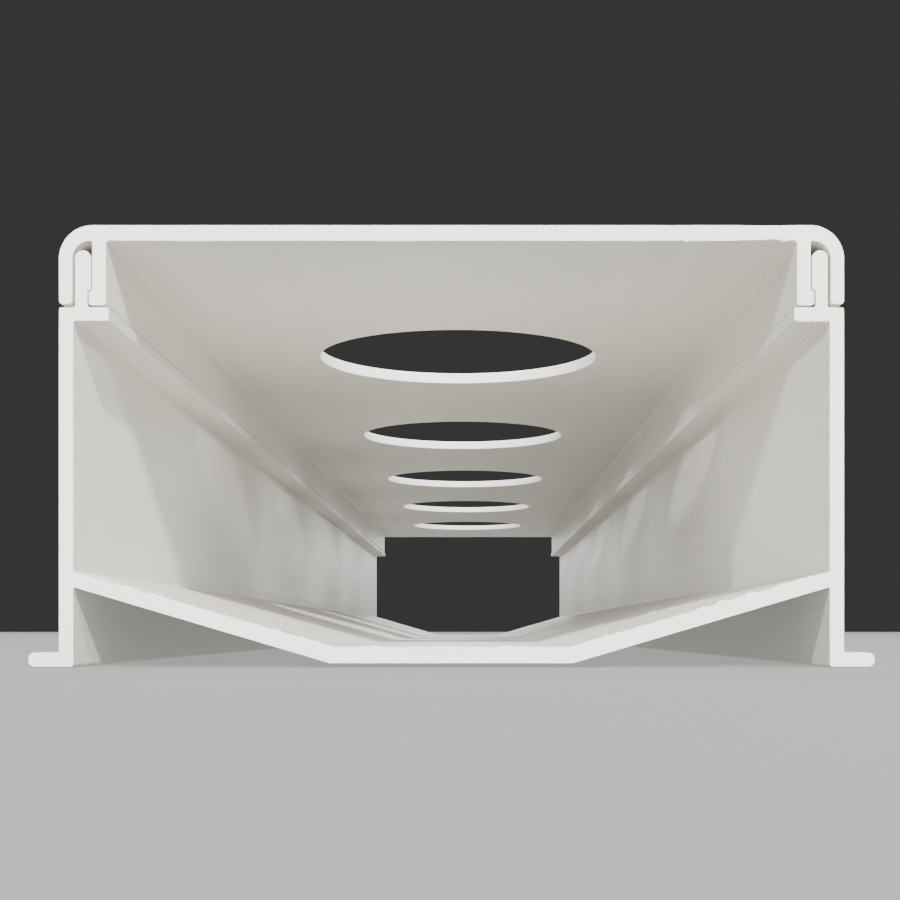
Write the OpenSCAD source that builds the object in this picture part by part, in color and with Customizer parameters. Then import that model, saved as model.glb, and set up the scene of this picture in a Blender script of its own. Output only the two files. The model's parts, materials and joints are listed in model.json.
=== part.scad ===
// Trough feeder: an extruded channel with a V floor, and a clip-on cover with round openings.
// Both pieces are one cross-section run along Y, open at both ends.
// Origin: middle of the footprint, on the ground. +Y along the trough, +Z up.

/* [Length] */
// Length of the trough and of its cover
length = 1143; // [950:1:3000]

/* [Trough] */
// Width over the side walls
body_w = 203.2; // [180:0.1:260]
// Height from the ground to the top of the cover
body_h = 114.3; // [90:0.1:160]
// Thickness of the side walls
wall_t = 3.75; // [2.5:0.05:4.5]
// Height of the shelf's top below the top of the cover
shelf_drop = 21.24; // [20.9:0.01:21.6]
// Thickness of the shelf
shelf_t = 3.56; // [2.5:0.01:5]
// Width of the shelf, from the wall's outer face inwards
shelf_w = 12.9; // [10:0.1:20]

/* [Feet] */
// Reach of a foot beyond the wall
foot_reach = 7.95; // [5:0.05:20]
// Thickness of a foot
foot_t = 3.7; // [3.5:0.05:6]
// Radius of a foot's two tip corners
foot_tip_r = 1.7; // [0.5:0.05:1.7]

/* [V floor] */
// Gap between the ground and the middle of the floor
floor_gap = 0.9; // [0.5:0.1:5]
// Thickness of the flat middle of the floor
floor_t = 4.3; // [3:0.1:6]
// Thickness of the sloped sides of the floor, measured upright
slope_t = 4.1; // [3:0.1:6]
// Half width of the flat middle, on its underside
flat_half = 31.5; // [20:0.1:60]
// How much less that half width is on the upper side
flat_inset = 0.9; // [0:0.1:2]
// Rise of the underside from the flat middle to the wall
floor_rise = 19.7; // [10:0.1:30]

/* [Rail] */
// Distance from the wall's outer face to the rail
rail_in = 4.2; // [4.15:0.05:4.3]
// Thickness of the rail's rounded head
head_t = 4.1; // [4.05:0.05:4.2]
// Thickness of the rail's neck
neck_t = 3.2; // [3:0.05:3.3]
// Height of the rail above the shelf
rail_h = 14.74; // [12:0.01:15.5]
// Height of the neck, from the shelf to the shoulder
neck_h = 4.5; // [4.4:0.01:6]

/* [Cover] */
// Thickness of the top
top_t = 4.1; // [3:0.1:4.5]
// Thickness of the outer skirt
skirt_t = 3.5; // [2.5:0.05:3.55]
// Radius of the outer corners
corner_r = 8.7; // [7:0.1:12]
// Thickness of the inner leg
leg_t = 3.6; // [2.5:0.05:4]
// Gap between the cover and the rail, and between the cover and the shelf
play = 0.3; // [0.25:0.01:0.35]
// Gap between the skirt's lower edge and the shelf
skirt_lift = 0.8; // [0.3:0.1:2]

/* [Openings] */
// Diameter of the round openings
hole_d = 101.6; // [40:0.1:105]
// Distance between their centres
hole_pitch = 206.4; // [110:0.1:206.4]
// How many there are
hole_count = 5; // [1:1:5]

/* [Hidden] */

// Corner radii: extruded edges, tight inside corners, the walls' heels, the free edges of the
// cover, the roots of its legs, and the arches over the rails
edge_r = 0.5;
inside_r = 0.4;
heel_r = 0.8;
hem_r = 0.9;
root_r = 1;
arch_r = 4.6;

// Trough, right-hand side
wall_out = body_w / 2;
wall_in = wall_out - wall_t;
shelf_in = wall_out - shelf_w;
shelf_z = body_h - shelf_drop;
slope_top_z = floor_gap + floor_rise + slope_t;
rail_out = wall_out - rail_in;
rail_z = shelf_z + rail_h;
head_in = rail_out - head_t;
neck_in = rail_out - neck_t;
shoulder_z = shelf_z + neck_h;
head_r = head_t / 2 - 0.01;

// Cover, right-hand side
ceiling_z = body_h - top_t;
skirt_in = wall_out - skirt_t;
leg_out = head_in - play;
leg_in = leg_out - leg_t;
barb_out = neck_in - play;
barb_z = shoulder_z - play;
leg_z = shelf_z + 1.5 * play;
hem_z = shelf_z + skirt_lift;

// Corners of the right-hand half of each cross-section, as [x, z, corner radius],
// from the lower middle outwards and back to the upper middle.
trough_half = [
    [flat_half, floor_gap, edge_r],
    [wall_in, floor_gap + floor_rise, inside_r],
    [wall_in, 0, heel_r],
    [wall_out + foot_reach, 0, foot_tip_r],
    [wall_out + foot_reach, foot_t, foot_tip_r],
    [wall_out, foot_t, inside_r],
    [wall_out, shelf_z, edge_r],
    [rail_out, shelf_z, inside_r],
    [rail_out, rail_z, head_r],
    [head_in, rail_z, head_r],
    [head_in, shoulder_z, inside_r],
    [neck_in, shoulder_z, inside_r],
    [neck_in, shelf_z, edge_r],
    [shelf_in, shelf_z, edge_r],
    [shelf_in, shelf_z - shelf_t, inside_r],
    [wall_in, shelf_z - shelf_t, inside_r],
    [wall_in, slope_top_z, inside_r],
    [flat_half - flat_inset, floor_gap + floor_t, edge_r],
];
cover_half = [
    [leg_in, ceiling_z, root_r],
    [leg_in, leg_z, hem_r],
    [barb_out, leg_z, hem_r],
    [barb_out, barb_z, inside_r],
    [leg_out, barb_z, inside_r],
    [leg_out, ceiling_z, inside_r],
    [skirt_in, ceiling_z, arch_r],
    [skirt_in, hem_z, hem_r],
    [wall_out, hem_z, hem_r],
    [wall_out, body_h, corner_r],
];

// A vector made one unit long
function unit(v) = v / norm(v);

// Points of the arc that rounds corner b, which lies between corners a and c
function rounded_corner(a, b, c) =
    let (
        p = [b.x, b.y],
        radius = b.z,
        to_a = unit([a.x, a.y] - p),
        to_c = unit([c.x, c.y] - p),
        half_angle = acos(to_a * to_c) / 2,
        centre = p + unit(to_a + to_c) * radius / sin(half_angle),
        start = p + to_a * radius / tan(half_angle) - centre,
        end = p + to_c * radius / tan(half_angle) - centre,
        start_angle = atan2(start.y, start.x),
        sweep = (atan2(end.y, end.x) - start_angle + 540) % 360 - 180,
        steps = ceil(abs(sweep) / 90 * (2 + radius))
    )
    [for (i = [0 : steps])
        let (angle = start_angle + sweep * i / steps)
        centre + radius * [cos(angle), sin(angle)]];

// A right-hand half and its mirror image, as one closed row of corners
function both_halves(half) =
    concat(half, [for (i = [len(half) - 1 : -1 : 0]) [-half[i].x, half[i].y, half[i].z]]);

// The outline through a closed row of corners, each one rounded
function outline(corners) =
    let (n = len(corners))
    [for (i = [0 : n - 1])
        each rounded_corner(corners[(i + n - 1) % n], corners[i], corners[(i + 1) % n])];

// A cross-section run along the whole length
module extrusion(half) {
    rotate([90, 0, 0])
        linear_extrude(height = length, center = true)
            polygon(outline(both_halves(half)));
}

// The channel: V floor, side walls with feet, and the shelves that carry the rails
module trough() {
    color("whitesmoke")
        extrusion(trough_half);
}

// The lid: its skirt and leg straddle each rail, and the leg's barb catches under the head
module cover() {
    color("white")
        difference() {
            extrusion(cover_half);
            for (i = [0 : hole_count - 1])
                translate([0, (i - (hole_count - 1) / 2) * hole_pitch, ceiling_z - top_t])
                    cylinder(h = 3 * top_t, d = hole_d, $fn = 96);
        }
}

trough();
cover();
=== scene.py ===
"""Looks of the trough feeder: two white PVC extrusions with sawn ends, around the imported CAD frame."""

import json
import math
import random

import bmesh
import bpy
from mathutils import Euler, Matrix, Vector, noise


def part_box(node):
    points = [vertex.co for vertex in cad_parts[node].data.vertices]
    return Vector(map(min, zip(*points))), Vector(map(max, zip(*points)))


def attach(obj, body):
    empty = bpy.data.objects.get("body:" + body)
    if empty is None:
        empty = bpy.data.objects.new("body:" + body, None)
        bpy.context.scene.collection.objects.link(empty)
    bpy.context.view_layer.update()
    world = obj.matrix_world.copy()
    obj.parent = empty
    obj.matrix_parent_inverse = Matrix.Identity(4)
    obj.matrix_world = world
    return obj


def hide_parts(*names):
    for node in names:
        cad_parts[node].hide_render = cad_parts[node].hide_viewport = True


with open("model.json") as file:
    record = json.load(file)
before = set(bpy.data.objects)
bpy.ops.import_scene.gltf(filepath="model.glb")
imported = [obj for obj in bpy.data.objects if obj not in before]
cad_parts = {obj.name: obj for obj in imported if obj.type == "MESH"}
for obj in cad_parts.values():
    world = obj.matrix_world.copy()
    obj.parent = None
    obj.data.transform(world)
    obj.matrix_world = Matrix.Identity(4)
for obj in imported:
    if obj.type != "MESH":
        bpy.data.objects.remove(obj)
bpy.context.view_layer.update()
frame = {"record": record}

MM = 0.001
QUARTER_TURN = math.pi / 2
FULL_TURN = 2 * math.pi

# ---------------------------------------------------------------- sizes from the frame
trough_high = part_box("trough")[1]
cover_low, cover_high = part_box("cover")
bores = [m for m in frame["record"]["mounts"] if m["kind"] == "bore"]

END = trough_high.y                      # both pieces run from -END to END
FOOT_OUT = trough_high.x                 # tip of a foot
RAIL_Z = trough_high.z                   # top of a rail
WALL_OUT = cover_high.x                  # outer face of a wall and of the cover
TOP_Z = cover_high.z                     # top of the cover
LEG_Z = cover_low.z                      # lower edge of the cover's inner legs
HOLE_R = bores[0]["dims"]["r_mm"] * MM
TOP_T = bores[0]["dims"]["length_mm"] * MM
HOLE_YS = sorted(m["pos_m"][1] for m in bores)

# ---------------------------------------------------------------- cross-sections
PLAY = 0.3 * MM
WALL_IN = WALL_OUT - 3.75 * MM
SHELF_IN = WALL_OUT - 12.9 * MM
SHELF_Z = LEG_Z - 1.5 * PLAY
SHELF_UNDER = SHELF_Z - 3.56 * MM
FOOT_T = 3.7 * MM
FLAT_UNDER = 0.9 * MM                    # underside of the floor's flat middle
FLAT_TOP = FLAT_UNDER + 4.3 * MM
FLAT_HALF = 31.5 * MM                    # half width of the flat middle, on its underside
FLAT_HALF_TOP = FLAT_HALF - 0.9 * MM
SLOPE_UNDER = 20.6 * MM                  # underside of the floor at the wall
SLOPE_TOP = SLOPE_UNDER + 4.1 * MM
RAIL_OUT = WALL_OUT - 4.2 * MM
HEAD_IN = RAIL_OUT - 4.1 * MM
HEAD_R = 2.04 * MM
NECK_IN = RAIL_OUT - 3.2 * MM
SHOULDER_Z = SHELF_Z + 4.5 * MM
CEILING_Z = TOP_Z - TOP_T
SKIRT_IN = WALL_OUT - 3.5 * MM
LEG_OUT = HEAD_IN - PLAY
LEG_IN = LEG_OUT - 3.6 * MM
BARB_OUT = NECK_IN - PLAY
BARB_Z = SHOULDER_Z - PLAY
HEM_Z = SHELF_Z + 0.8 * MM

EDGE_R = 0.5 * MM
INSIDE_R = 0.4 * MM
HEEL_R = 0.8 * MM
HEM_R = 0.9 * MM
ROOT_R = 1.0 * MM
FOOT_TIP_R = 1.7 * MM
ARCH_R = 4.6 * MM
CORNER_R = 8.7 * MM

# Corners of the right-hand half of each cross-section: (x, z, corner radius)
TROUGH_HALF = [
    (FLAT_HALF, FLAT_UNDER, EDGE_R),
    (WALL_IN, SLOPE_UNDER, INSIDE_R),
    (WALL_IN, 0, HEEL_R),
    (FOOT_OUT, 0, FOOT_TIP_R),
    (FOOT_OUT, FOOT_T, FOOT_TIP_R),
    (WALL_OUT, FOOT_T, INSIDE_R),
    (WALL_OUT, SHELF_Z, EDGE_R),
    (RAIL_OUT, SHELF_Z, INSIDE_R),
    (RAIL_OUT, RAIL_Z, HEAD_R),
    (HEAD_IN, RAIL_Z, HEAD_R),
    (HEAD_IN, SHOULDER_Z, INSIDE_R),
    (NECK_IN, SHOULDER_Z, INSIDE_R),
    (NECK_IN, SHELF_Z, EDGE_R),
    (SHELF_IN, SHELF_Z, EDGE_R),
    (SHELF_IN, SHELF_UNDER, INSIDE_R),
    (WALL_IN, SHELF_UNDER, INSIDE_R),
    (WALL_IN, SLOPE_TOP, INSIDE_R),
    (FLAT_HALF_TOP, FLAT_TOP, EDGE_R),
]
COVER_HALF = [
    (LEG_IN, CEILING_Z, ROOT_R),
    (LEG_IN, LEG_Z, HEM_R),
    (BARB_OUT, LEG_Z, HEM_R),
    (BARB_OUT, BARB_Z, INSIDE_R),
    (LEG_OUT, BARB_Z, INSIDE_R),
    (LEG_OUT, CEILING_Z, INSIDE_R),
    (SKIRT_IN, CEILING_Z, ARCH_R),
    (SKIRT_IN, HEM_Z, HEM_R),
    (WALL_OUT, HEM_Z, HEM_R),
    (WALL_OUT, TOP_Z, CORNER_R),
]

# Stretch of the cover's top that holds an opening: a square of PATCH x PATCH in COLUMNS steps
PATCH = 132 * MM
COLUMNS = 24
SAME_PLACE = 1e-6                        # closer than this, two coordinates are one


def rounded_corner(before, corner, after):
    """Points of the arc that rounds a corner, finer on a larger radius."""
    p = Vector(corner[:2])
    radius = corner[2]
    to_before = (Vector(before[:2]) - p).normalized()
    to_after = (Vector(after[:2]) - p).normalized()
    half_angle = to_before.angle(to_after) / 2
    centre = p + (to_before + to_after).normalized() * radius / math.sin(half_angle)
    start = p + to_before * radius / math.tan(half_angle) - centre
    end = p + to_after * radius / math.tan(half_angle) - centre
    start_angle = math.atan2(start.y, start.x)
    turn = math.atan2(end.y, end.x) - start_angle
    sweep = (turn + 1.5 * FULL_TURN) % FULL_TURN - math.pi
    steps_per_quarter = 5 + 1.2 * radius / MM
    steps = math.ceil(abs(sweep) / QUARTER_TURN * steps_per_quarter)
    angles = [start_angle + sweep * i / steps for i in range(steps + 1)]
    return [centre + radius * Vector((math.cos(a), math.sin(a))) for a in angles]


def outline(half, top_columns=False):
    """The closed outline of a cross-section, anticlockwise from its lower middle, as (x, z) points.
    With top_columns, its two middle stretches get the columns that the openings' patches join."""
    corners = half + [(-x, z, r) for x, z, r in reversed(half)]
    points = []
    for i, corner in enumerate(corners):
        points += rounded_corner(corners[i - 1], corner, corners[(i + 1) % len(corners)])
        if top_columns and i == len(half) - 1:
            points += column_points(TOP_Z, -1)
    if top_columns:
        points += column_points(CEILING_Z, 1)
    return points


def column_points(z, direction):
    """The points where the cover's top or underside is divided across its width."""
    step = direction * PATCH / COLUMNS
    return [Vector((-direction * PATCH / 2 + step * i, z)) for i in range(COLUMNS + 1)]


def normals_of(points):
    """Outward normal at each point of an anticlockwise outline."""
    normals = []
    for i, p in enumerate(points):
        along = (p - points[i - 1]).normalized() + (points[(i + 1) % len(points)] - p).normalized()
        normals.append(Vector((along.y, -along.x)).normalized())
    return normals


WAVE_DEPTH = 0.035 * MM                  # half of the deepest wave
WAVE_ACROSS = 25 * MM                    # rough length of a wave across the extrusion
WAVE_ALONG = 170 * MM                    # and along it


def wave(x, y, z):
    """How far a surface point lies from true, as an extrusion's does: long, shallow, and never outwards."""
    place = Vector((x / WAVE_ACROSS, y / WAVE_ALONG, z / WAVE_ACROSS))
    return -WAVE_DEPTH * (1 + noise.noise(place))


SHARP_ANGLE = math.radians(32)           # edges that turn more than this stay sharp


def finish_mesh(name, bm, materials, body):
    """Turns a bmesh into a smooth-shaded piece that rides on a body."""
    mesh = bpy.data.meshes.new(name)
    bmesh.ops.recalc_face_normals(bm, faces=bm.faces)
    bm.to_mesh(mesh)
    bm.free()
    piece = bpy.data.objects.new(name, mesh)
    bpy.context.scene.collection.objects.link(piece)
    for material in materials:
        mesh.materials.append(material)
    mesh.shade_smooth()
    mesh.set_sharp_from_angle(angle=SHARP_ANGLE)
    piece.modifiers.new("even_shading", "WEIGHTED_NORMAL").keep_sharp = True
    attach(piece, body)
    return piece


def join_rings(bm, a, b):
    """Quads between two rings of the same number of vertices."""
    faces = []
    for i in range(len(a)):
        k = (i + 1) % len(a)
        faces.append(bm.faces.new([a[i], a[k], b[k], b[i]]))
    return faces


# ---------------------------------------------------------------- sawn ends
CUT, RIM = 1, 2                          # material places on each piece, where 0 is its skin
FINE_STEP = 0.9 * MM                     # rough spacing of the points around a sawn edge
COLLAR = 3 * MM                          # length of the finely divided stretch at each end
EDGE_WEAR = 0.11 * MM                    # usual depth of the broken edge
EDGE_WEAR_RANGE = 0.06 * MM              # how far it strays from that
EDGE_GRAIN = 1.3 * MM                    # size of the raggedness along an edge


def subdivided(points):
    """The outline with extra points on its straight stretches, and for each new point the index of
    the stretch that it lies on."""
    fine, stretch = [], []
    for i, p in enumerate(points):
        q = points[(i + 1) % len(points)]
        count = max(1, round((q - p).length / FINE_STEP))
        for k in range(count):
            fine.append(p.lerp(q, k / count))
            stretch.append(i)
    return fine, stretch


def bite(x, z, end, chips):
    """Depth of the broken edge at a point of a sawn end: a slight ragged chamfer, deeper in a chip."""
    place = Vector((x / EDGE_GRAIN, z / EDGE_GRAIN, 7.3 * end))
    depth = EDGE_WEAR + EDGE_WEAR_RANGE * noise.noise(place)
    for cx, cz, reach, most in chips:
        distance = math.hypot(x - cx, z - cz) / reach
        if distance < 1:
            ragged = 0.65 + 0.5 * noise.noise(place * 1.7)
            depth += most * ragged * math.sqrt(1 - distance * distance)
    return depth


def add_end(bm, loop, points, end, chips):
    """Closes an extrusion at y = end * END: a finely divided collar, a broken edge and the sawn face.
    loop holds the vertices of the last full ring, which is at COLLAR from the end."""
    fine, stretch = subdivided(points)
    outward = normals_of(fine)
    edge_ring, face_ring = [], []
    for p, n in zip(fine, outward):
        depth = bite(p.x, p.y, end, chips)
        inset = p - n * (0.6 * depth)
        edge_ring.append(bm.verts.new((p.x, end * (END - depth), p.y)))
        face_ring.append(bm.verts.new((inset.x, end * END, inset.y)))
    count = len(fine)
    for i in range(len(points)):
        chain = [edge_ring[k] for k in range(count) if stretch[k] == i]
        after = edge_ring[(stretch.index(i) + len(chain)) % count]
        bm.faces.new([loop[i], loop[(i + 1) % len(points)], after] + chain[::-1])
    for k in range(count):
        m = (k + 1) % count
        bm.faces.new([edge_ring[k], edge_ring[m], face_ring[m], face_ring[k]]).material_index = CUT
    bm.faces.new(face_ring).material_index = CUT


def ring(bm, points, outward, y):
    """One cross-section's vertices at y, with the extrusion's slight waves."""
    vertices = []
    for p, n in zip(points, outward):
        q = p + n * wave(p.x, y, p.y)
        vertices.append(bm.verts.new((q.x, y, q.y)))
    return vertices


def even_steps(start, stop, longest):
    """Values from start to stop, evenly spaced and no further apart than longest."""
    count = max(1, math.ceil((stop - start) / longest))
    return [start + (stop - start) * i / count for i in range(count + 1)]


# Broken places on the near end's edges: (x, z, reach, depth)
TROUGH_CHIPS = [
    (WALL_OUT - 9 * MM, SHELF_UNDER, 3.5 * MM, 0.3 * MM),
    (-WALL_OUT + 1 * MM, SHELF_Z, 2.5 * MM, 0.35 * MM),
    (WALL_OUT - 1 * MM, SHELF_Z, 1.6 * MM, 0.3 * MM),
]
COVER_CHIPS = [
    (82 * MM, CEILING_Z, 8 * MM, 0.55 * MM),
    (83 * MM, CEILING_Z, 1.1 * MM, 0.5 * MM),
    (56 * MM, CEILING_Z, 5 * MM, 0.2 * MM),
    (-88 * MM, CEILING_Z, 2 * MM, 0.2 * MM),
]


# ---------------------------------------------------------------- the trough
RING_STEP = 18 * MM                      # longest stretch of the trough between two rings


def build_trough(materials):
    """The channel's extrusion."""
    points = outline(TROUGH_HALF)
    outward = normals_of(points)
    bm = bmesh.new()
    rings = [ring(bm, points, outward, y) for y in even_steps(-END + COLLAR, END - COLLAR, RING_STEP)]
    for a, b in zip(rings, rings[1:]):
        join_rings(bm, a, b)
    add_end(bm, rings[0], points, -1, TROUGH_CHIPS)
    add_end(bm, rings[-1], points, 1, [])
    piece = finish_mesh("trough_shell", bm, materials, "trough")
    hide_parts("trough")


# ---------------------------------------------------------------- the cover
RIM_TOP_R = 0.45 * MM                    # rounding of an opening's upper edge
RIM_LOW_R = 0.25 * MM                    # and of its lower edge
RIM_STEPS = 4                            # steps in each of those roundings
GROOVES = 9                              # the hole saw's marks, from top to bottom
GROOVE_DEPTH = 0.02 * MM
CHATTER = 0.05 * MM                      # how far an opening is from round
PATCH_SHARES = (0.12, 0.45)              # where the patch's inner rings lie, from rim to edge
COVER_STEP = 15 * MM                     # longest stretch between two rings, clear of the openings


def rim_profile():
    """An opening's wall from the top face to the underside, as (growth of the radius, z): a rounded
    edge, the saw's grooves, and a rounded edge."""
    profile = []
    angles = [QUARTER_TURN * i / RIM_STEPS for i in range(RIM_STEPS + 1)]
    for a in angles:
        profile.append((RIM_TOP_R * (1 - math.sin(a)), TOP_Z - RIM_TOP_R * (1 - math.cos(a))))
    wall_top, wall_low = TOP_Z - RIM_TOP_R, CEILING_Z + RIM_LOW_R
    for i in range(1, GROOVES):
        z = wall_top + (wall_low - wall_top) * i / GROOVES
        profile.append((GROOVE_DEPTH * (-1) ** i, z))
    for a in angles:
        profile.append((RIM_LOW_R * (1 - math.cos(a)), CEILING_Z + RIM_LOW_R * (1 - math.sin(a))))
    return profile


def square_ring():
    """Points around the edge of an opening's patch, anticlockwise from its lower left corner."""
    h = PATCH / 2
    along = [i * PATCH / COLUMNS for i in range(COLUMNS)]
    lower = [(-h + s, -h) for s in along]
    right = [(h, -h + s) for s in along]
    upper = [(h - s, h) for s in along]
    left = [(-h, h - s) for s in along]
    return lower + right + upper + left


def add_opening(bm, index, y0, edge_vertex):
    """Fills the patch around one opening, on the top and on the underside, and makes its rim.
    edge_vertex(z, x, y) gives the shared vertex on the patch's edge."""
    square = square_ring()
    angles = [math.atan2(y, x) for x, y in square]
    levels = []
    for growth, z in rim_profile():
        level = []
        for a in angles:
            place = Vector((9 * math.cos(a), 9 * math.sin(a), index + z / MM / 9))
            r = HOLE_R + growth + CHATTER * noise.noise(place)
            level.append(bm.verts.new((r * math.cos(a), y0 + r * math.sin(a), z)))
        levels.append(level)
    for a, b in zip(levels, levels[1:]):
        for face in join_rings(bm, a, b):
            face.material_index = RIM
    for z, inner in ((TOP_Z, levels[0]), (CEILING_Z, levels[-1])):
        previous = inner
        for share in PATCH_SHARES:
            current = []
            for (x, y), v in zip(square, inner):
                edge = Vector((x, y0 + y, z))
                current.append(bm.verts.new(v.co.lerp(edge, share)))
            join_rings(bm, previous, current)
            previous = current
        join_rings(bm, previous, [edge_vertex(z, x, y0 + y) for x, y in square])


def cover_stations():
    """The rings along the cover: at every column step beside an opening, further apart between them."""
    stations = []
    edge = -END + COLLAR
    for y0 in HOLE_YS:
        stations += even_steps(edge, y0 - PATCH / 2, COVER_STEP)[:-1]
        stations += [y0 - PATCH / 2 + PATCH / COLUMNS * i for i in range(COLUMNS)]
        edge = y0 + PATCH / 2
    return stations + even_steps(edge, END - COLLAR, COVER_STEP)


def vertex_key(z, x, y):
    """A place on the cover's top or underside, as a key that tiny rounding errors don't change."""
    return round(z, 6), round(x, 5), round(y, 5)


def build_cover(materials):
    """The lid's extrusion, with a patch left out of its top and underside for each opening."""
    points = outline(COVER_HALF, top_columns=True)
    outward = normals_of(points)
    h = PATCH / 2
    # Points within a patch's width are left out beside an opening, and those up to its edge get no
    # waves, because the patches join them
    level = [min(abs(p.y - TOP_Z), abs(p.y - CEILING_Z)) < SAME_PLACE for p in points]
    inside = [flat and abs(p.x) < h - SAME_PLACE for p, flat in zip(points, level)]
    joined = [flat and abs(p.x) < h + SAME_PLACE for p, flat in zip(points, level)]
    bm = bmesh.new()
    shared = {}
    rings = []
    stations = cover_stations()
    for y in stations:
        within = any(abs(y - y0) < h - SAME_PLACE for y0 in HOLE_YS)
        vertices = []
        for p, n, left_out, kept_true in zip(points, outward, inside, joined):
            if within and left_out:
                vertices.append(None)
                continue
            q = p if kept_true else p + n * wave(p.x, y, p.y)
            v = bm.verts.new((q.x, y, q.y))
            vertices.append(v)
            if kept_true:
                shared[vertex_key(p.y, p.x, y)] = v
        rings.append(vertices)
    for a, b, y, y_next in zip(rings, rings[1:], stations, stations[1:]):
        patch = any(abs((y + y_next) / 2 - y0) < h for y0 in HOLE_YS)
        for i in range(len(points)):
            k = (i + 1) % len(points)
            if patch and (inside[i] or inside[k]):
                continue
            bm.faces.new([a[i], a[k], b[k], b[i]])
    for index, y0 in enumerate(HOLE_YS):
        add_opening(bm, index, y0, lambda z, x, y: shared[vertex_key(z, x, y)])
    add_end(bm, rings[0], points, -1, COVER_CHIPS)
    add_end(bm, rings[-1], points, 1, [])
    piece = finish_mesh("cover_shell", bm, materials, "cover")
    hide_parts("cover")


# ---------------------------------------------------------------- burrs and swarf
BURR_STEP = 0.3 * MM                     # spacing of the points along a burr
BURR_GRAIN = 0.7 * MM                    # size of its raggedness
BURR_ROOT = 0.15 * MM                    # how deep it is sunk into the edge
BURR_THICKNESS = 0.1 * MM                # of its root, where it is lowest
HAIR_SIDES = 6                           # of a hair's cross-section


def add_burr(bm, rng, start, stop, outward, end, height, back=0.05 * MM):
    """A ragged sliver left standing along a sawn edge from start to stop, both (x, z): a thin closed
    ridge, which starts a little behind the sawn face."""
    length = (stop - start).length
    count = max(4, round(length / BURR_STEP))
    seed = rng.uniform(0, 99)
    rows = []
    for i in range(count + 1):
        share = i / count
        p = start.lerp(stop, share)
        ragged = 0.6 + 0.9 * noise.noise(Vector((share * length / BURR_GRAIN, seed, 0)))
        rise = height * max(0.05, ragged) * min(1, 5 * share + 0.03, 5 * (1 - share) + 0.03)
        root = p - outward * BURR_ROOT
        tip = p + outward * rise
        y = END - back
        depth = BURR_THICKNESS + 0.25 * rise
        rows.append([
            bm.verts.new((root.x, end * y, root.y)),
            bm.verts.new((root.x, end * (y - depth), root.y)),
            bm.verts.new((tip.x, end * (y - 0.6 * depth), tip.y)),
        ])
    for a, b in zip(rows, rows[1:]):
        join_rings(bm, a, b)
    bm.faces.new(rows[0][::-1])
    bm.faces.new(rows[-1])


SLOPE = (SLOPE_TOP - FLAT_TOP) / (WALL_IN - FLAT_HALF_TOP)     # rise of the floor's sides


def slope_point(x):
    """Point of the floor's upper face at x, as (x, z)."""
    return Vector((x, FLAT_TOP + SLOPE * max(0.0, abs(x) - FLAT_HALF_TOP)))


def add_floor_burrs(bm, rng, end, spans):
    """Burrs on the upper edge of the floor, each given in mm as
    (x from, x to, height, distance behind the cut)."""
    for x0, x1, height, back in spans:
        tilt = 0 if abs(x0 + x1) / 2 * MM < FLAT_HALF_TOP else math.copysign(SLOPE, x0)
        outward = Vector((-tilt, 1)).normalized()
        start, stop = slope_point(x0 * MM), slope_point(x1 * MM)
        add_burr(bm, rng, start, stop, outward, end, height * MM, back * MM)


def scattered_burrs(rng, low, high, count):
    """Short low burrs at random places between low and high, in mm."""
    spans = []
    for _ in range(count):
        x = rng.uniform(low, high)
        spans.append((x, x + rng.uniform(0.6, 2.2), rng.uniform(0.1, 0.28), rng.uniform(0.05, 0.7)))
    return spans


def add_thread(bm, rng, points, radius):
    """A hair of plastic through points given as (x, y, z), thinner at its two ends, as a closed tube."""
    rows = []
    for i, p in enumerate(points):
        along = (points[min(i + 1, len(points) - 1)] - points[max(i - 1, 0)]).normalized()
        across = along.cross(Vector((0, 1, 0))).normalized()
        other = along.cross(across)
        share = i / (len(points) - 1)
        r = radius * rng.uniform(0.75, 1.25) * (0.35 + 0.65 * math.sin(math.pi * share))
        turns = [FULL_TURN * k / HAIR_SIDES for k in range(HAIR_SIDES)]
        rows.append([bm.verts.new(p + across * r * math.cos(t) + other * r * math.sin(t)) for t in turns])
    for a, b in zip(rows, rows[1:]):
        join_rings(bm, a, b)
    bm.faces.new(rows[0][::-1])
    bm.faces.new(rows[-1])


def floor_thread(bm, rng, x0, x1, lift, back, radius):
    """A hair peeled from the floor's sawn edge between x0 and x1, in mm, lifted in its middle."""
    count = max(8, round(abs(x1 - x0) / 0.5))
    points = []
    for i in range(count + 1):
        share = i / count
        at = slope_point((x0 + (x1 - x0) * share) * MM)
        height = lift * (min(1, 6 * share, 4 * (1 - share)) + 0.12 * math.sin(19 * share)) - 0.05
        depth = back + 0.25 * math.sin(5 * share) + rng.uniform(-0.04, 0.04)
        points.append(Vector((at.x, -END + depth * MM, at.y + height * MM)))
    add_thread(bm, rng, points, radius * MM)


# Hairs on the floor's near edge, in mm: (x from, x to, lift, distance behind the cut, radius)
FLOOR_HAIRS = [
    (-97.6, -83.5, 0.62, 0.7, 0.09),
    (-84.5, -76.5, 0.55, 0.9, 0.07),
    (-78.5, -72.5, 0.8, 1.3, 0.06),
    (71, 76, 0.5, 1.1, 0.07),
]
# Slivers on the floor's edges, in mm: (x from, x to, height, distance behind the cut)
NEAR_SLIVERS = [
    (-85, -82.5, 0.5, 0.6),
    (-79, -74, 0.22, 0.3),
    (84, 88, 0.5, 0.15),
    (76, 79, 0.6, 0.3),
    (68, 71.5, 0.65, 0.5),
    (88.5, 94, 0.35, 0.2),
    (63, 66, 0.4, 0.2),
    (38.5, 41, 0.45, 0.5),
    (-24.5, -18, 0.3, 0.4),
    (12.5, 16, 0.35, 0.6),
    (17, 20.5, 0.25, 0.3),
]
FAR_SLIVERS = [
    (45, 70, 0.3, 0.2),
    (80, 92, 0.4, 0.3),
    (-95, -74, 0.4, 0.2),
]
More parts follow.
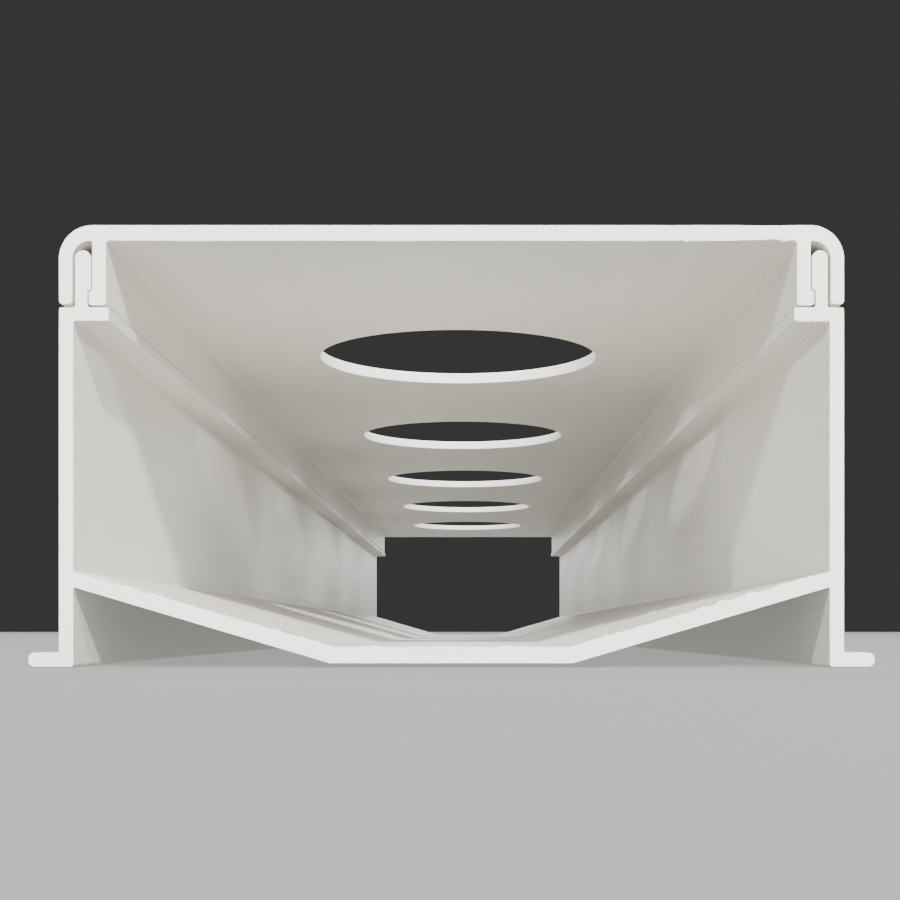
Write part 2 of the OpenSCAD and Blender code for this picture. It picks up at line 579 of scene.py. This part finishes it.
# Slivers on the lower edge of the cover's top, in mm: (x from, x to, height, which end)
COVER_SLIVERS = [
    (60.3, 61.6, 0.35, -1),
    (62.5, 66, 0.12, -1),
    (47, 51, 0.1, -1),
    (85.2, 87.6, 0.16, -1),
    (-72, -60, 0.08, -1),
    (-20, -8, 0.07, -1),
    (-80, -60, 0.25, 1),
    (-30, 5, 0.2, 1),
    (48, 76, 0.3, 1),
]
FRINGE_TEETH = 14                        # of the ragged fringe under the right-hand shelf
DOWN = Vector((0, -1))                   # in a cross-section, where points are (x, z)


def build_trough_burrs(material):
    """What the saw left on the trough's ends: hairs and slivers on the floor, a fringe on the shelf."""
    rng = random.Random(11)
    bm = bmesh.new()
    for hair in FLOOR_HAIRS:
        floor_thread(bm, rng, *hair)
    add_floor_burrs(bm, rng, -1, NEAR_SLIVERS)
    add_floor_burrs(bm, rng, -1, scattered_burrs(rng, 34, 95, 26) + scattered_burrs(rng, -95, -34, 14))
    add_floor_burrs(bm, rng, -1, scattered_burrs(rng, -29, 28, 9))
    add_floor_burrs(bm, rng, 1, FAR_SLIVERS)
    add_floor_burrs(bm, rng, 1, scattered_burrs(rng, 34, 95, 12) + scattered_burrs(rng, -95, -34, 12))
    for k in range(FRINGE_TEETH):
        x0 = SHELF_IN + (0.5 + 0.58 * k) * MM
        x1 = x0 + rng.uniform(0.45, 0.8) * MM
        height = rng.uniform(0.12, 0.42) * MM
        add_burr(bm, rng, Vector((x0, SHELF_UNDER)), Vector((x1, SHELF_UNDER)), DOWN, -1, height)
    finish_mesh("trough_saw_burrs", bm, [material], "trough")


def build_cover_burrs(material):
    """Low slivers on the lower edge of the cover's top, at both ends."""
    rng = random.Random(12)
    bm = bmesh.new()
    for x0, x1, height, end in COVER_SLIVERS:
        a, b = Vector((x0 * MM, CEILING_Z)), Vector((x1 * MM, CEILING_Z))
        add_burr(bm, rng, a, b, DOWN, end, height * MM)
    finish_mesh("cover_saw_burrs", bm, [material], "cover")


def add_crumb(bm, rng, place, size):
    """One irregular flake with its middle at place."""
    stretch = Vector((rng.uniform(0.7, 2.6), rng.uniform(0.7, 2.0), rng.uniform(0.35, 0.7)))
    turn = rng.uniform(0, math.pi)
    for v in bmesh.ops.create_icosphere(bm, subdivisions=1, radius=size)["verts"]:
        flake = Vector(a * b for a, b in zip(v.co, stretch)) * rng.uniform(0.6, 1.25)
        flake.rotate(Euler((rng.uniform(-0.2, 0.2), rng.uniform(-0.2, 0.2), turn)))
        v.co = flake + place


CRUMBS = 110
CRUMB_REACH = 92 * MM                    # furthest that a crumb lies from the middle line
HEAP_CRUMBS = 9
HEAP_X = 65 * MM
HEAP_DEPTH = 114 * MM                    # from the near end

# Specks on the right-hand shelf's inner edge, in mm: (distance from the near end, drop, radius)
SPECKS = [
    (69, 2.6, 0.28),
    (72, 3.0, 0.16),
    (76, 3.2, 0.24),
    (79, 3.3, 0.15),
    (66, 2.0, 0.14),
]


def floor_crumb(bm, rng, x, y, size):
    """One flake that lies on the trough's floor."""
    add_crumb(bm, rng, Vector((x, y, slope_point(x).y + 0.3 * size)), size)


def build_crumbs(material):
    """Sawdust flakes on the floor: most lie near the near end and under the openings, and a few in a
    small heap on the right."""
    rng = random.Random(5)
    bm = bmesh.new()
    for _ in range(CRUMBS):
        if rng.random() < 0.45:
            y = -END + abs(rng.gauss(0, 0.06)) + 0.004
        elif rng.random() < 0.7:
            y = rng.choice(HOLE_YS) + rng.gauss(0, 0.05)
        else:
            y = rng.uniform(-END, END) * 0.98
        x = max(-CRUMB_REACH, min(CRUMB_REACH, rng.gauss(0, 0.05)))
        size = rng.uniform(0.1, 0.34) * MM
        floor_crumb(bm, rng, x, y, size)
    for _ in range(HEAP_CRUMBS):
        x = HEAP_X + rng.gauss(0, 2.2) * MM
        size = rng.uniform(0.15, 0.45) * MM
        y = -END + HEAP_DEPTH + rng.gauss(0, 0.005)
        floor_crumb(bm, rng, x, y, size)
    finish_mesh("sawdust_crumbs", bm, [material], "trough")


def build_specks(material):
    """A few dark specks stuck to the inner edge of the right-hand shelf."""
    rng = random.Random(8)
    bm = bmesh.new()
    for depth, drop, size in SPECKS:
        place = Vector((SHELF_IN + 0.02 * MM, -END + depth * MM, SHELF_Z - drop * MM))
        for v in bmesh.ops.create_icosphere(bm, subdivisions=1, radius=size * MM)["verts"]:
            v.co = Vector((v.co.x * 0.25, v.co.y * 2.2, v.co.z)) * rng.uniform(0.6, 1.3) + place
    finish_mesh("shelf_specks", bm, [material], "trough")


# ---------------------------------------------------------------- materials
SKIN_TONE = (0.815, 0.799, 0.752)
# Sawn faces: paler than the skin, partly because sawn plastic is paler and partly as painted light,
# brightened to stand in for the lamps on the cut ends
CUT_TONE_PAINTED_LIGHT = (0.95, 0.947, 0.925)
# Walls of the openings: near white, partly a painted highlight, brightened so that the rims glow as lit
# ones do
RIM_TONE_PAINTED_HIGHLIGHT = (0.97, 0.97, 0.96)
FLECK_TONE = (0.42, 0.39, 0.34)
GRIME_TONES = (0.10, 0.085, 0.065), (0.22, 0.20, 0.17)
FLOOR_TONES = (0.075, 0.075, 0.074), (0.085, 0.085, 0.084)
FLOOR_GLOW = (1, 1, 0.99)
PVC_IOR = 1.53


def shade(tone, share=1.0):
    """A tone, darkened to a share of itself, as the colour that a socket takes."""
    return tuple(c * share for c in tone) + (1.0,)


class Nodes:
    """A short way to write a node tree: node() makes one and sets its inputs and links."""

    def __init__(self, name):
        self.material = bpy.data.materials.new(name)
        self.material.use_nodes = True
        self.tree = self.material.node_tree
        self.tree.nodes.clear()

    def node(self, kind, settings=None, **inputs):
        """Makes a node, with its settings, and gives each named input a value or a link. An input's
        name has _ for a space; i0, i6 and so on are inputs by number."""
        made = self.tree.nodes.new(kind)
        for key, value in (settings or {}).items():
            setattr(made, key, value)
        for key, value in inputs.items():
            by_number = key[0] == "i" and key[1:].isdigit()
            socket = made.inputs[int(key[1:]) if by_number else key.replace("_", " ")]
            if isinstance(value, bpy.types.NodeSocket):
                self.tree.links.new(value, socket)
            else:
                socket.default_value = value
        return made

    def stretched(self, scale):
        """Object coordinates, in metres, times a scale for each axis."""
        where = self.node("ShaderNodeTexCoord").outputs["Object"]
        return self.node("ShaderNodeMapping", Vector=where, Scale=scale).outputs["Vector"]

    def noise(self, scale, detail=3.0, rough=0.5):
        """Soft noise from 0 to 1, with about as many lumps per metre on each axis as its scale says."""
        where = self.stretched(scale)
        made = self.node("ShaderNodeTexNoise", Vector=where, Scale=1.0, Detail=detail, Roughness=rough)
        return made.outputs["Fac"]

    def ramp(self, value, low, high, out_low=0.0, out_high=1.0):
        """The value's stretch from low to high, spread from out_low to out_high."""
        made = self.node("ShaderNodeMapRange", {"clamp": True}, Value=value, From_Min=low, From_Max=high,
                         To_Min=out_low, To_Max=out_high)
        return made.outputs["Result"]

    def math(self, operation, a, b):
        return self.node("ShaderNodeMath", {"operation": operation}, i0=a, i1=b).outputs["Value"]

    def mix(self, share, a, b):
        """Colour a, and b in its place where the share is 1."""
        made = self.node("ShaderNodeMix", {"data_type": "RGBA"}, i0=share, i6=a, i7=b)
        return made.outputs[2]

    def bump(self, height, distance, below=None):
        """A surface with relief of the given distance, in metres, on top of the relief below it."""
        inputs = {"Height": height, "Distance": distance, "Strength": 1.0}
        if below is not None:
            inputs["Normal"] = below
        return self.node("ShaderNodeBump", **inputs).outputs["Normal"]

    def finish(self, **inputs):
        shader = self.node("ShaderNodeBsdfPrincipled", **inputs)
        self.node("ShaderNodeOutputMaterial", Surface=shader.outputs["BSDF"])
        return self.material


def pvc_skin(name, tone):
    """Extruded rigid PVC: satin and a little cloudy, with faint die lines along its length, very
    faint scuffs and a few small flecks."""
    n = Nodes(name)
    cloud = n.noise((9.0, 3.0, 9.0), detail=4.0)
    die = n.noise((900.0, 1.2, 900.0), detail=2.0, rough=0.6)
    wide_die = n.noise((160.0, 0.6, 160.0), detail=2.0)
    scratch_a = n.noise((260.0, 9.0, 700.0), detail=1.0)
    scratch_b = n.noise((30.0, 420.0, 60.0), detail=1.0)
    scuff = n.math("ADD", n.ramp(scratch_a, 0.70, 0.74), n.ramp(scratch_b, 0.72, 0.76))
    fleck = n.ramp(n.noise((420.0, 420.0, 420.0), detail=1.0), 0.76, 0.80)
    base = n.mix(n.ramp(cloud, 0.3, 0.7), shade(tone, 0.955), shade(tone))
    lines = n.mix(n.ramp(wide_die, 0.35, 0.75, 0.0, 0.6), base, shade(tone, 0.93))
    worn = n.mix(n.math("MULTIPLY", scuff, 0.1), lines, shade(tone, 0.84))
    spotted = n.mix(n.math("MULTIPLY", fleck, 0.5), worn, shade(FLECK_TONE))
    rough = n.math("ADD", n.ramp(cloud, 0.3, 0.7, 0.40, 0.48), n.math("MULTIPLY", scuff, 0.12))
    rough = n.math("ADD", rough, n.ramp(die, 0.4, 0.7, -0.02, 0.05))
    normal = n.bump(die, 0.03 * MM)
    normal = n.bump(wide_die, 0.2 * MM, normal)
    normal = n.bump(n.noise((2600.0, 2600.0, 2600.0), detail=2.0), 0.01 * MM, normal)
    return n.finish(Base_Color=spotted, Roughness=rough, Normal=normal, IOR=PVC_IOR)


def sawn_pvc(name, tone):
    """The sawn end of an extrusion: paler and dull, creamier in patches, with the blade's long
    shallow arcs. Part of the paleness of the tone it is given is painted light."""
    n = Nodes(name)
    where = n.node("ShaderNodeTexCoord").outputs["Object"]
    from_blade = n.node("ShaderNodeMapping", Vector=where, Location=(0.05, 0.0, 0.34)).outputs["Vector"]
    saw_waves = {"wave_type": "RINGS", "rings_direction": "Y", "wave_profile": "SAW"}
    blade = n.node("ShaderNodeTexWave", saw_waves, Vector=from_blade, Scale=190.0, Distortion=3.0,
                   Detail=2.0, Detail_Scale=1.5)
    arcs = blade.outputs["Fac"]
    smear = n.noise((60.0, 60.0, 60.0), detail=4.0)
    grain = n.noise((2200.0, 2200.0, 2200.0), detail=3.0)
    patches = n.ramp(n.noise((16.0, 16.0, 16.0), detail=1.0), 0.42, 0.58)
    cream = (tone[0] * 0.985, tone[1] * 0.975, tone[2] * 0.925)
    tinted = n.mix(patches, shade(tone), shade(cream))
    base = n.mix(n.ramp(smear, 0.3, 0.7, 0.0, 0.6), tinted, shade(tone, 0.94))
    lined = n.mix(n.math("MULTIPLY", arcs, 0.05), base, shade(tone, 0.85))
    normal = n.bump(arcs, 0.04 * MM)
    normal = n.bump(grain, 0.03 * MM, normal)
    rough = n.ramp(smear, 0.3, 0.7, 0.50, 0.64)
    return n.finish(Base_Color=lined, Roughness=rough, Normal=normal, IOR=PVC_IOR)


def drilled_pvc(name, tone):
    """The wall of a round opening: the hole saw's fine rings."""
    n = Nodes(name)
    rings = n.noise((3.0, 3.0, 4200.0), detail=2.0)
    grain = n.noise((1500.0, 1500.0, 1500.0), detail=2.0)
    base = n.mix(n.ramp(rings, 0.35, 0.7), shade(tone, 0.97), shade(tone))
    rough = n.ramp(grain, 0.3, 0.7, 0.42, 0.55)
    normal = n.bump(rings, 0.06 * MM)
    normal = n.bump(grain, 0.02 * MM, normal)
    return n.finish(Base_Color=base, Roughness=rough, Normal=normal, IOR=PVC_IOR)


def dirt(name):
    """Grey-brown grime, mottled and dull."""
    n = Nodes(name)
    base = n.mix(n.noise((3000.0, 3000.0, 3000.0)), shade(GRIME_TONES[0]), shade(GRIME_TONES[1]))
    return n.finish(Base_Color=base, Roughness=0.8)


def studio_floor():
    """A pale light table, which also glows a little from below."""
    n = Nodes("studio_floor")
    mottle = n.noise((5.0, 5.0, 5.0), detail=4.0)
    base = n.mix(n.ramp(mottle, 0.3, 0.7), shade(FLOOR_TONES[0]), shade(FLOOR_TONES[1]))
    glow = shade(FLOOR_GLOW)
    return n.finish(Base_Color=base, Roughness=0.9, Emission_Color=glow, Emission_Strength=0.38)


skin = pvc_skin("pvc_skin", SKIN_TONE)
cover_skin = pvc_skin("pvc_cover_skin", tuple(c * 1.01 for c in SKIN_TONE))
# The sawn faces' tone is partly painted light: it is brightened past the plastic's own tone
sawn = sawn_pvc("pvc_sawn_painted_light", CUT_TONE_PAINTED_LIGHT)
# The openings' walls carry a painted highlight: their tone is brightened so that the rims glow
drilled_with_painted_highlight = drilled_pvc("pvc_drilled_painted_highlight", RIM_TONE_PAINTED_HIGHLIGHT)

build_trough([skin, sawn])
build_cover([cover_skin, sawn, drilled_with_painted_highlight])
build_trough_burrs(sawn)
build_cover_burrs(sawn)
build_crumbs(sawn)
build_specks(dirt("grime"))


# ---------------------------------------------------------------- floor, light and camera
FLOOR_RADIUS = 30.0
FLOOR_DROP = 0.2 * MM                    # keeps the feet's undersides clear of the floor's face

WARM = (1.0, 0.968, 0.945)
NEAR_END = (0, -END, 0.06)               # points that the lights shine at
MIDDLE = (0, 0, 0.1)
FAR_END = (0, END, 0.08)

CAMERA_BACK = 364.8 * MM                 # from the near end
CAMERA_RIGHT = 5.7 * MM                  # from the middle line
CAMERA_UP = 9.13 * MM                    # from the ground


def add_floor():
    """A wide round floor just under the feet."""
    bm = bmesh.new()
    bmesh.ops.create_circle(bm, cap_ends=True, radius=FLOOR_RADIUS, segments=128)
    mesh = bpy.data.meshes.new("studio_floor")
    bm.to_mesh(mesh)
    bm.free()
    mesh.materials.append(studio_floor())
    floor = bpy.data.objects.new("studio_floor", mesh)
    floor.location.z = -FLOOR_DROP
    bpy.context.scene.collection.objects.link(floor)


def add_light(name, direction, distance, size, power, aim=NEAR_END, tint=(1, 1, 1)):
    """An area light that shines at aim from a direction, given as a vector towards the light. Its
    distance and size are in metres and its power is in watts."""
    data = bpy.data.lights.new(name, "AREA")
    data.shape = "RECTANGLE"
    data.size, data.size_y = size
    data.energy = power
    data.color = tint
    light = bpy.data.objects.new(name, data)
    away = Vector(direction).normalized()
    light.location = Vector(aim) + away * distance
    light.rotation_euler = away.to_track_quat("Z", "Y").to_euler()
    light.visible_camera = False
    bpy.context.scene.collection.objects.link(light)


def add_world(seen, lit):
    """A dark backdrop that the camera sees, and in its place an even soft light for all other rays."""
    world = bpy.data.worlds.new("studio")
    world.use_nodes = True
    tree = world.node_tree
    tree.nodes.clear()
    path = tree.nodes.new("ShaderNodeLightPath")
    dark = tree.nodes.new("ShaderNodeBackground")
    soft = tree.nodes.new("ShaderNodeBackground")
    blend = tree.nodes.new("ShaderNodeMixShader")
    out = tree.nodes.new("ShaderNodeOutputWorld")
    dark.inputs["Color"].default_value = (seen, seen, seen, 1)
    soft.inputs["Color"].default_value = (lit, lit, lit * 0.985, 1)
    tree.links.new(path.outputs["Is Camera Ray"], blend.inputs[0])
    tree.links.new(soft.outputs[0], blend.inputs[1])
    tree.links.new(dark.outputs[0], blend.inputs[2])
    tree.links.new(blend.outputs[0], out.inputs["Surface"])
    bpy.context.scene.world = world


def add_camera():
    """Close to the open end, just above the floor, looking straight along the trough."""
    data = bpy.data.cameras.new("camera")
    data.lens = 56.4
    data.sensor_width = 36
    data.shift_x = -0.0261
    data.shift_y = 0.2017
    data.clip_start = 0.01
    camera = bpy.data.objects.new("camera", data)
    camera.location = (CAMERA_RIGHT, -END - CAMERA_BACK, CAMERA_UP)
    camera.rotation_euler = (QUARTER_TURN, 0, 0)
    bpy.context.scene.collection.objects.link(camera)
    bpy.context.scene.camera = camera


add_floor()
add_camera()
add_world(seen=0.042, lit=0.66)
add_light("key_left", (-1.42, -1.0, 0.55), 3.4, (0.16, 0.16), 54, tint=WARM)
add_light("key_right", (1.6, -1.0, 0.74), 3.4, (0.4, 0.4), 41, tint=WARM)
add_light("key_front", (0.26, -1.0, 0.635), 3.2, (0.16, 0.16), 222, tint=WARM)
add_light("front_soft", (0.0, -1.0, 0.25), 3.6, (2.4, 1.6), 66)
add_light("top_soft", (0.1, 0.15, 1.0), 3.0, (2.0, 2.4), 62, aim=MIDDLE)
add_light("back_soft", (0, 1, 0.18), 4.0, (2.6, 1.3), 38, aim=FAR_END)
add_light("side_soft_left", (-1, 0, 0.5), 4.6, (3.0, 1.8), 36, aim=MIDDLE)
add_light("side_soft_right", (1, 0, 0.5), 4.6, (3.0, 1.8), 52, aim=MIDDLE)

bpy.context.scene.view_settings.view_transform = "AgX"
